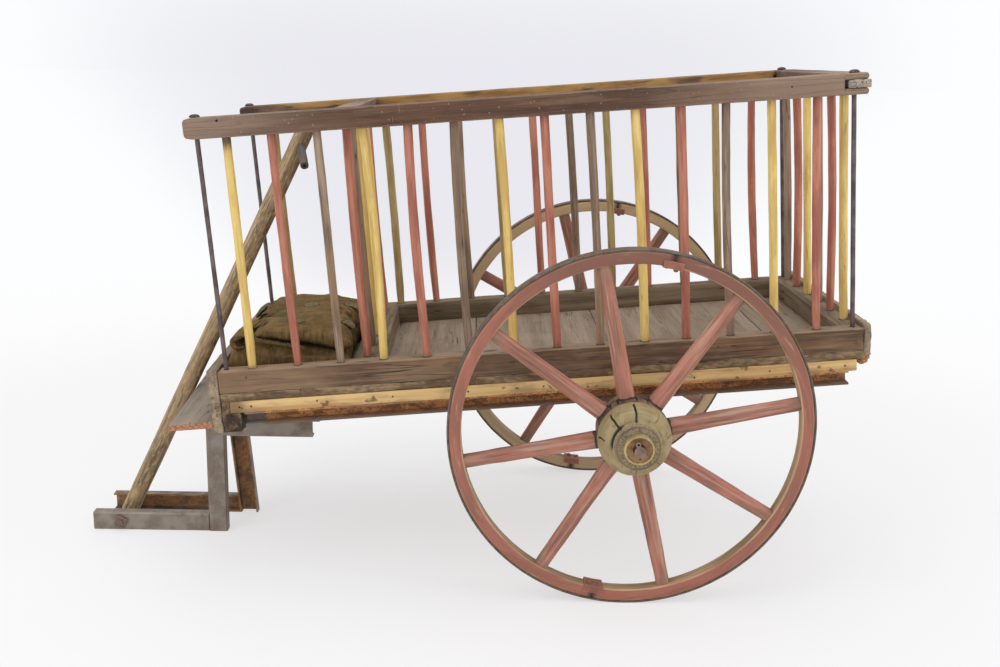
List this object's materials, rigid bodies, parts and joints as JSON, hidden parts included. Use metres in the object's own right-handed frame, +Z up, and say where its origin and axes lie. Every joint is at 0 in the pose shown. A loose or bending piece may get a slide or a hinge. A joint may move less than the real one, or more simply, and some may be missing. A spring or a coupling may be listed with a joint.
{
  "type": "circus cage wagon",
  "caption": "Small two-wheeled cart with a spindle-sided cage, front seat with folded cushion, spoked wooden wheels, a hinged pull pole and a steel parking stand.",
  "frame": {"origin": "on the ground, at the middle of the whole cart's length and width", "axes": "+X to the rear of the cart, +Y to its right side, +Z up; the tongue and seat are at -X"},
  "size_m": [1.7462, 1.076, 1.1167],
  "materials": {
    "cage_wood": "weathered brown timber, worn at the edges",
    "floor_wood": "grey weathered planks",
    "pale_wood": "newer pale pine",
    "wheel_paint": "faded brick-red paint on wood",
    "hub_paint": "faded olive paint on wood",
    "pole_wood": "handled brown pole",
    "iron": "dark worn iron",
    "stand_steel": "dull grey-brown steel",
    "rusty_steel": "rusted channel",
    "cushion_cloth": "coarse olive-brown cloth"
  },
  "bodies": {
    "cart": {"axle": "iron", "floor_plank_1": "floor_wood", "floor_plank_2": "floor_wood", "floor_plank_3": "floor_wood", "floor_plank_4": "floor_wood", "floor_plank_5": "floor_wood", "footboard": "floor_wood", "front_bearer": "floor_wood", "front_board": "floor_wood", "front_left_tie_rod": "iron", "front_right_tie_rod": "iron", "left_axle_block": "cage_wood", "left_grille": "cage_wood", "left_leg": "stand_steel", "left_linchpin": "iron", "left_longeron": "rusty_steel", "left_lower_arm": "stand_steel", "left_packing_block": "cage_wood", "left_sill": "cage_wood", "left_strip": "pale_wood", "left_upper_arm": "stand_steel", "partition_grille": "cage_wood", "partition_sill": "cage_wood", "pivot_bolt": "iron", "rear_board": "floor_wood", "rear_grille": "cage_wood", "rear_left_tie_rod": "iron", "rear_right_tie_rod": "iron", "rear_sill": "cage_wood", "right_axle_block": "cage_wood", "right_grille": "cage_wood", "right_leg": "stand_steel", "right_linchpin": "iron", "right_longeron": "rusty_steel", "right_lower_arm": "stand_steel", "right_packing_block": "cage_wood", "right_sill": "cage_wood", "right_strip": "pale_wood", "right_upper_arm": "stand_steel", "seat_cushion": "cushion_cloth", "stand_bearer": "floor_wood"},
    "left_wheel": {"left_wheel_clip_lower": "wheel_paint", "left_wheel_clip_upper": "wheel_paint", "left_wheel_felloe_front": "wheel_paint", "left_wheel_felloe_rear": "wheel_paint", "left_wheel_hub": "hub_paint", "left_wheel_hub_band": "iron", "left_wheel_hub_box": "hub_paint", "left_wheel_tyre": "iron"},
    "right_wheel": {"right_wheel_clip_lower": "wheel_paint", "right_wheel_clip_upper": "wheel_paint", "right_wheel_felloe_front": "wheel_paint", "right_wheel_felloe_rear": "wheel_paint", "right_wheel_hub": "hub_paint", "right_wheel_hub_band": "iron", "right_wheel_hub_box": "hub_paint", "right_wheel_tyre": "iron"},
    "tongue": {"tongue_peg": "iron", "tongue_pole": "pole_wood"}
  },
  "joints": [
    {"name": "left_wheel_spin", "type": "hinge", "parent": "cart", "child": "left_wheel", "pos_m": [0.35485, -0.4, 0.381], "axis": [0, 1, 0], "continuous": true},
    {"name": "right_wheel_spin", "type": "hinge", "parent": "cart", "child": "right_wheel", "pos_m": [0.35485, 0.4, 0.381], "axis": [0, 1, 0], "continuous": true},
    {"name": "tongue_pivot", "type": "hinge", "parent": "cart", "child": "tongue", "pos_m": [-0.80715, 0, 0.022], "axis": [0, -1, 0], "range_deg": [0, 113]}
  ]
}
